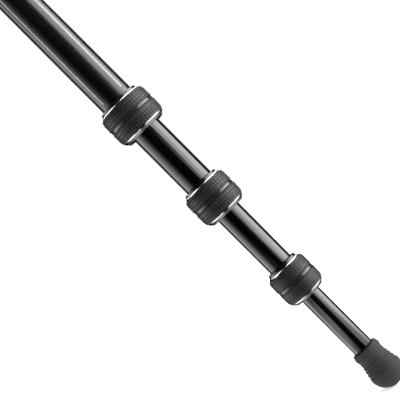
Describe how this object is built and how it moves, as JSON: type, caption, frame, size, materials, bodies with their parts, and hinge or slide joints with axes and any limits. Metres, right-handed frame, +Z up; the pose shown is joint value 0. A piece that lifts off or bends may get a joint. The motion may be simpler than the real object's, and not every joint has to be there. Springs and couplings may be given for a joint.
{
  "type": "travel tripod",
  "caption": "Travel tripod with telescoping legs and knurled twist locks, a folding spider hinge, a sliding centre column with a threaded head stud, and a weight hook.",
  "frame": {"origin": "on the floor under the centre column's axis, with the tripod standing on its feet", "axes": "+Z up along the centre column; leg 1 leans out towards +X, legs 2 and 3 follow at 120 and 240 degrees"},
  "size_m": [0.3814, 0.437, 0.5494],
  "materials": {
    "anodised_black": "black anodised tube, semi-gloss",
    "cast_black": "satin black powder coat on cast aluminium",
    "turned_silver": "turned and clear anodised, bright on the bevels",
    "grip_rubber": "matte, fine diamond knurl",
    "foot_rubber": "matte",
    "nylon": "moulded black nylon",
    "steel_bolt": "plain steel"
  },
  "bodies": {
    "frame": {"spider": "cast_black", "hinge_hardware": "steel_bolt", "column_collet": "nylon"},
    "column": {"column_tube": "anodised_black", "top_plate": "anodised_black", "head_stud": "steel_bolt", "weight_hook": "turned_silver"},
    "column_lock": {"column_lock_ring": "turned_silver", "column_lock_grip": "grip_rubber"},
    "leg1": {"leg1_hinge_casting": "cast_black", "leg1_upper_tube": "anodised_black", "leg1_upper_fittings": "nylon"},
    "leg1_tab": {"leg1_angle_tab": "turned_silver"},
    "leg1_lock_1": {"leg1_lock_1_ring": "turned_silver", "leg1_lock_1_grip": "grip_rubber"},
    "leg1_section_2": {"leg1_tube_2": "anodised_black", "leg1_fittings_2": "nylon"},
    "leg1_lock_2": {"leg1_lock_2_ring": "turned_silver", "leg1_lock_2_grip": "grip_rubber"},
    "leg1_section_3": {"leg1_tube_3": "anodised_black", "leg1_fittings_3": "nylon"},
    "leg1_lock_3": {"leg1_lock_3_ring": "turned_silver", "leg1_lock_3_grip": "grip_rubber"},
    "leg1_section_4": {"leg1_tube_4": "anodised_black", "leg1_fittings_4": "nylon", "leg1_foot": "foot_rubber"},
    "leg2": {"leg2_hinge_casting": "cast_black", "leg2_upper_tube": "anodised_black", "leg2_upper_fittings": "nylon"},
    "leg2_tab": {"leg2_angle_tab": "turned_silver"},
    "leg2_lock_1": {"leg2_lock_1_ring": "turned_silver", "leg2_lock_1_grip": "grip_rubber"},
    "leg2_section_2": {"leg2_tube_2": "anodised_black", "leg2_fittings_2": "nylon"},
    "leg2_lock_2": {"leg2_lock_2_ring": "turned_silver", "leg2_lock_2_grip": "grip_rubber"},
    "leg2_section_3": {"leg2_tube_3": "anodised_black", "leg2_fittings_3": "nylon"},
    "leg2_lock_3": {"leg2_lock_3_ring": "turned_silver", "leg2_lock_3_grip": "grip_rubber"},
    "leg2_section_4": {"leg2_tube_4": "anodised_black", "leg2_fittings_4": "nylon", "leg2_foot": "foot_rubber"},
    "leg3": {"leg3_hinge_casting": "cast_black", "leg3_upper_tube": "anodised_black", "leg3_upper_fittings": "nylon"},
    "leg3_tab": {"leg3_angle_tab": "turned_silver"},
    "leg3_lock_1": {"leg3_lock_1_ring": "turned_silver", "leg3_lock_1_grip": "grip_rubber"},
    "leg3_section_2": {"leg3_tube_2": "anodised_black", "leg3_fittings_2": "nylon"},
    "leg3_lock_2": {"leg3_lock_2_ring": "turned_silver", "leg3_lock_2_grip": "grip_rubber"},
    "leg3_section_3": {"leg3_tube_3": "anodised_black", "leg3_fittings_3": "nylon"},
    "leg3_lock_3": {"leg3_lock_3_ring": "turned_silver", "leg3_lock_3_grip": "grip_rubber"},
    "leg3_section_4": {"leg3_tube_4": "anodised_black", "leg3_fittings_4": "nylon", "leg3_foot": "foot_rubber"}
  },
  "joints": [
    {"name": "leg1_hinge", "type": "hinge", "parent": "frame", "child": "leg1", "pos_m": [0.034, 0, 0.49534], "axis": [0, -1, 0], "range_deg": [-23, 157]},
    {"name": "leg1_tab_slide", "type": "slide", "parent": "leg1", "child": "leg1_tab", "axis": [0.3907, 0, -0.9205], "range_m": [0, 0.004], "stiffness_N_per_m": 800, "springref_m": -0.002},
    {"name": "leg1_lock_1_turn", "type": "hinge", "parent": "leg1", "child": "leg1_lock_1", "pos_m": [0.15599, 0, 0.20794], "axis": [0.3907, 0, -0.9205], "range_deg": [0, 120]},
    {"name": "leg1_section_2_slide", "type": "slide", "parent": "leg1", "child": "leg1_section_2", "axis": [0.3907, 0, -0.9205], "range_m": [-0.0418, 0.185]},
    {"name": "leg1_lock_2_turn", "type": "hinge", "parent": "leg1_section_2", "child": "leg1_lock_2", "pos_m": [0.18296, 0, 0.14443], "axis": [0.3907, 0, -0.9205], "range_deg": [0, 120]},
    {"name": "leg1_section_3_slide", "type": "slide", "parent": "leg1_section_2", "child": "leg1_section_3", "axis": [0.3907, 0, -0.9205], "range_m": [-0.0418, 0.206]},
    {"name": "leg1_lock_3_turn", "type": "hinge", "parent": "leg1_section_3", "child": "leg1_lock_3", "pos_m": [0.20992, 0, 0.08091], "axis": [0.3907, 0, -0.9205], "range_deg": [0, 120]},
    {"name": "leg1_section_4_slide", "type": "slide", "parent": "leg1_section_3", "child": "leg1_section_4", "axis": [0.3907, 0, -0.9205], "range_m": [-0.0418, 0.227]},
    {"name": "leg2_hinge", "type": "hinge", "parent": "frame", "child": "leg2", "pos_m": [-0.017, 0.02944, 0.49534], "axis": [0.866, 0.5, 0], "range_deg": [-23, 157]},
    {"name": "leg2_tab_slide", "type": "slide", "parent": "leg2", "child": "leg2_tab", "axis": [-0.1954, 0.3384, -0.9205], "range_m": [0, 0.004], "stiffness_N_per_m": 800, "springref_m": -0.002},
    {"name": "leg2_lock_1_turn", "type": "hinge", "parent": "leg2", "child": "leg2_lock_1", "pos_m": [-0.078, 0.1351, 0.20794], "axis": [-0.1954, 0.3384, -0.9205], "range_deg": [0, 120]},
    {"name": "leg2_section_2_slide", "type": "slide", "parent": "leg2", "child": "leg2_section_2", "axis": [-0.1954, 0.3384, -0.9205], "range_m": [-0.0418, 0.185]},
    {"name": "leg2_lock_2_turn", "type": "hinge", "parent": "leg2_section_2", "child": "leg2_lock_2", "pos_m": [-0.09148, 0.15844, 0.14443], "axis": [-0.1954, 0.3384, -0.9205], "range_deg": [0, 120]},
    {"name": "leg2_section_3_slide", "type": "slide", "parent": "leg2_section_2", "child": "leg2_section_3", "axis": [-0.1954, 0.3384, -0.9205], "range_m": [-0.0418, 0.206]},
    {"name": "leg2_lock_3_turn", "type": "hinge", "parent": "leg2_section_3", "child": "leg2_lock_3", "pos_m": [-0.10496, 0.18179, 0.08091], "axis": [-0.1954, 0.3384, -0.9205], "range_deg": [0, 120]},
    {"name": "leg2_section_4_slide", "type": "slide", "parent": "leg2_section_3", "child": "leg2_section_4", "axis": [-0.1954, 0.3384, -0.9205], "range_m": [-0.0418, 0.227]},
    {"name": "leg3_hinge", "type": "hinge", "parent": "frame", "child": "leg3", "pos_m": [-0.017, -0.02944, 0.49534], "axis": [-0.866, 0.5, 0], "range_deg": [-23, 157]},
    {"name": "leg3_tab_slide", "type": "slide", "parent": "leg3", "child": "leg3_tab", "axis": [-0.1954, -0.3384, -0.9205], "range_m": [0, 0.004], "stiffness_N_per_m": 800, "springref_m": -0.002},
    {"name": "leg3_lock_1_turn", "type": "hinge", "parent": "leg3", "child": "leg3_lock_1", "pos_m": [-0.078, -0.1351, 0.20794], "axis": [-0.1954, -0.3384, -0.9205], "range_deg": [0, 120]},
    {"name": "leg3_section_2_slide", "type": "slide", "parent": "leg3", "child": "leg3_section_2", "axis": [-0.1954, -0.3384, -0.9205], "range_m": [-0.0418, 0.185]},
    {"name": "leg3_lock_2_turn", "type": "hinge", "parent": "leg3_section_2", "child": "leg3_lock_2", "pos_m": [-0.09148, -0.15844, 0.14443], "axis": [-0.1954, -0.3384, -0.9205], "range_deg": [0, 120]},
    {"name": "leg3_section_3_slide", "type": "slide", "parent": "leg3_section_2", "child": "leg3_section_3", "axis": [-0.1954, -0.3384, -0.9205], "range_m": [-0.0418, 0.206]},
    {"name": "leg3_lock_3_turn", "type": "hinge", "parent": "leg3_section_3", "child": "leg3_lock_3", "pos_m": [-0.10496, -0.18179, 0.08091], "axis": [-0.1954, -0.3384, -0.9205], "range_deg": [0, 120]},
    {"name": "leg3_section_4_slide", "type": "slide", "parent": "leg3_section_3", "child": "leg3_section_4", "axis": [-0.1954, -0.3384, -0.9205], "range_m": [-0.0418, 0.227]},
    {"name": "column_slide", "type": "slide", "parent": "frame", "child": "column", "axis": [0, 0, 1], "range_m": [0, 0.22]},
    {"name": "column_lock_turn", "type": "hinge", "parent": "frame", "child": "column_lock", "pos_m": [0, 0, 0.51899], "axis": [0, 0, 1], "range_deg": [0, 120]}
  ]
}
